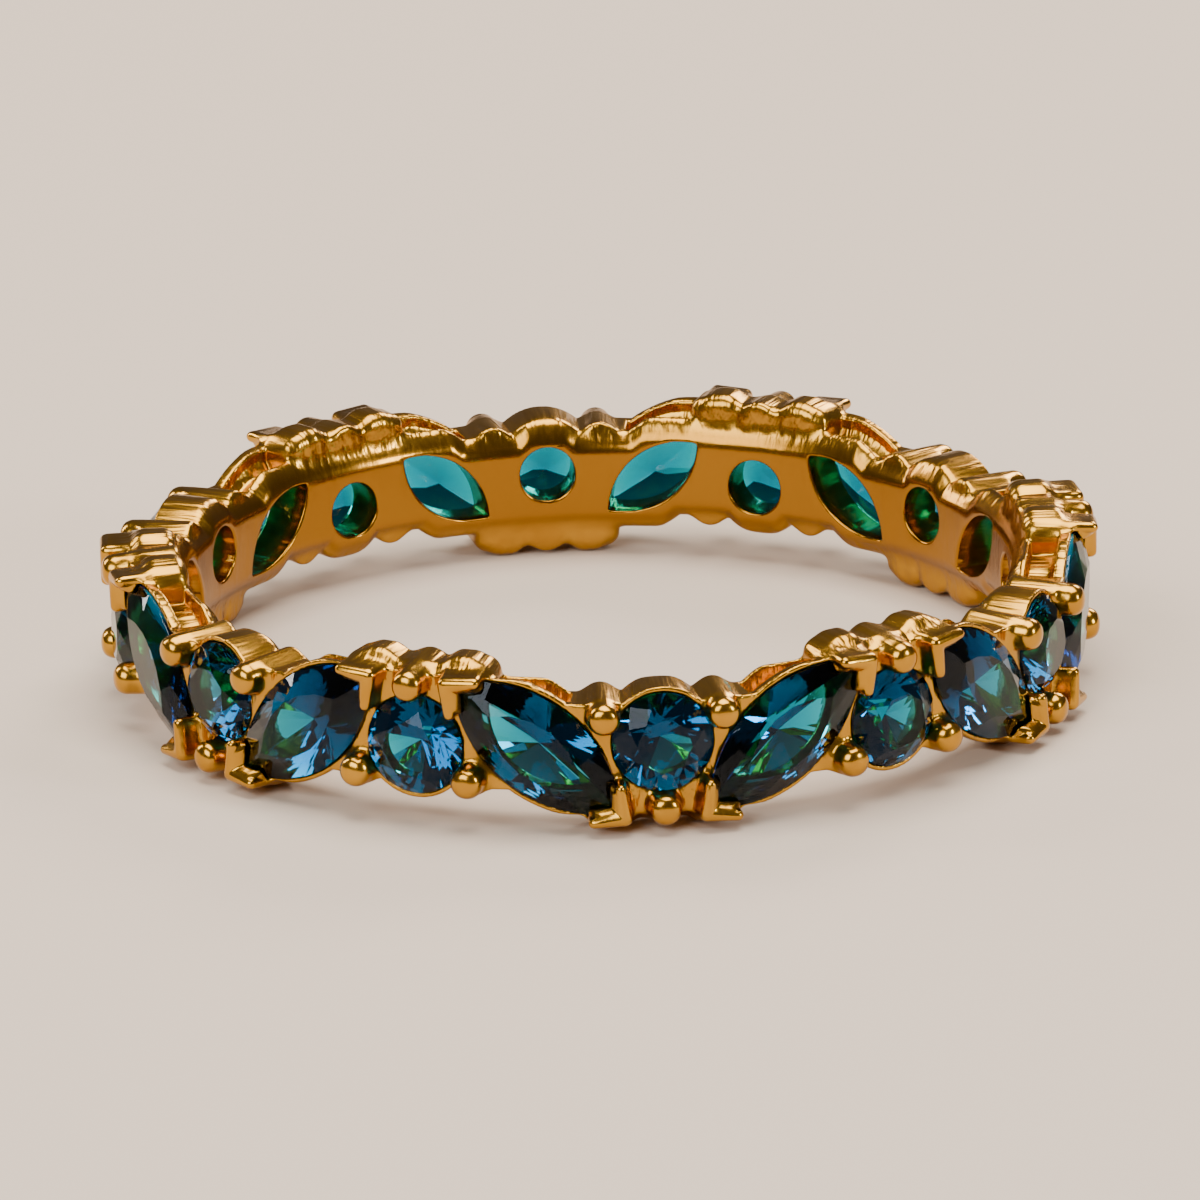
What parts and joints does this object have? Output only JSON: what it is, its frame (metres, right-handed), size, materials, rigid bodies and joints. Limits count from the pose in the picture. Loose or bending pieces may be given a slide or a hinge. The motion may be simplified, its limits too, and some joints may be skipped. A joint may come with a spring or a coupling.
{
  "type": "birthstone ring",
  "caption": "Wavy full eternity ring in polished gold, set all round with alternating round and tilted marquise blue-teal stones held by bead and V-shaped prongs.",
  "frame": {"origin": "on the finger's axis, at the height of the surface that the ring's lowest prongs rest on", "axes": "+Z along the finger's axis, upwards as the ring lies; a round stone with its prong feet below it faces -Y"},
  "size_m": [0.0212, 0.0212, 0.0036],
  "materials": {
    "gold": "polished warm yellow gold plate",
    "stone": "faceted blue-teal gemstone"
  },
  "bodies": {
    "root": {"band": "gold", "round_stone_01": "stone", "round_stone_02": "stone", "round_stone_03": "stone", "round_stone_04": "stone", "round_stone_05": "stone", "round_stone_06": "stone", "round_stone_07": "stone", "round_stone_08": "stone", "round_stone_09": "stone", "round_stone_10": "stone", "round_stone_11": "stone", "round_stone_12": "stone", "marquise_stone_01": "stone", "marquise_stone_02": "stone", "marquise_stone_03": "stone", "marquise_stone_04": "stone", "marquise_stone_05": "stone", "marquise_stone_06": "stone", "marquise_stone_07": "stone", "marquise_stone_08": "stone", "marquise_stone_09": "stone", "marquise_stone_10": "stone", "marquise_stone_11": "stone", "marquise_stone_12": "stone"}
  },
  "joints": []
}
